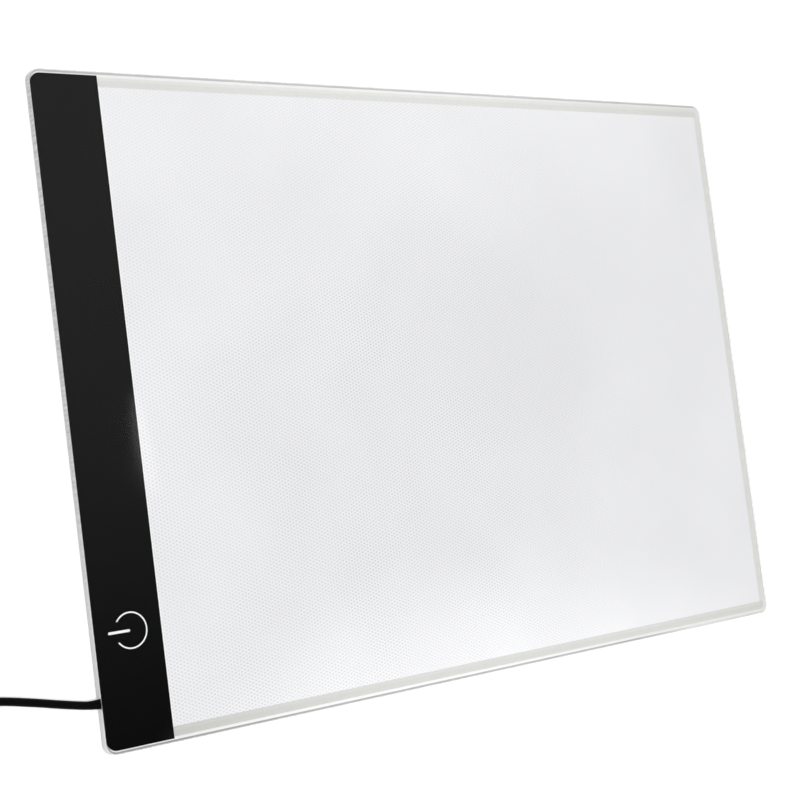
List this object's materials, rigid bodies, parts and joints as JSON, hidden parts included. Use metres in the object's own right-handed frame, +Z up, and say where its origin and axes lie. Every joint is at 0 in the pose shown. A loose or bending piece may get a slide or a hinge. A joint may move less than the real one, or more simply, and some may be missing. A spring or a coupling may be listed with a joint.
{
  "type": "tracing light pad",
  "caption": "Thin flat tracing light pad: an edge-lit white panel under a clear sheet, with a black touch band along a short side and a thin USB lead that ends in a plug.",
  "frame": {"origin": "middle of the pad's underside, on the surface that it lies on", "axes": "+X along the long side, away from the black band; +Y along the short side, away from the lead; +Z up, out of the lit face"},
  "size_m": [0.4277, 0.235, 0.0143],
  "materials": {
    "white_sheet": "matte white plastic sheet",
    "reflector": "matte white film",
    "light_guide": "acrylic plate with a field of fine dots",
    "spacer": "clear acrylic strip with cut edges",
    "board_tape": "thin double-sided tape",
    "led_board": "white solder mask",
    "leds": "white package with yellow phosphor",
    "control_board": "green solder mask",
    "electrode": "bare copper",
    "chips": "moulded black package",
    "capacitors": "fired ceramic",
    "resistors": "glazed black film",
    "red_wire": "soft wire insulation",
    "black_wire": "soft wire insulation",
    "white_wire": "soft wire insulation",
    "diffuser": "milky film",
    "edge_tape": "greyish white tape",
    "black_film": "black film behind a glossy sheet",
    "white_print": "white print",
    "clear_sheet": "polished clear acrylic",
    "cord_jacket": "satin black jacket",
    "tie": "black plastic twist tie",
    "plug_body": "fine-grained black overmould",
    "plug_shell": "nickel-plated sheet steel",
    "plug_tongue": "white moulded insulator",
    "plug_contacts": "gold-plated contacts"
  },
  "bodies": {
    "root": {"back_cover": "white_sheet", "reflector_sheet": "reflector", "light_guide": "light_guide", "bay_spacer_upper": "spacer", "bay_spacer_lower": "spacer", "led_board_tape": "board_tape", "led_board": "led_board", "leds": "leds", "control_board_tape": "board_tape", "control_board": "control_board", "touch_electrode": "electrode", "touch_chip": "chips", "power_transistor": "chips", "capacitors": "capacitors", "resistors": "resistors", "supply_wire_red": "red_wire", "supply_wire_black": "black_wire", "link_wires": "white_wire", "diffuser_sheet": "diffuser", "edge_tape_top": "edge_tape", "edge_tape_bottom": "edge_tape", "edge_tape_right": "edge_tape", "black_band": "black_film", "power_symbol": "white_print", "top_sheet": "clear_sheet", "strain_relief": "cord_jacket", "usb_cord": "cord_jacket", "cord_coil": "cord_jacket", "cord_tie": "tie", "plug_body": "plug_body", "plug_shell": "plug_shell", "plug_tongue": "plug_tongue", "plug_contacts": "plug_contacts"}
  },
  "joints": []
}
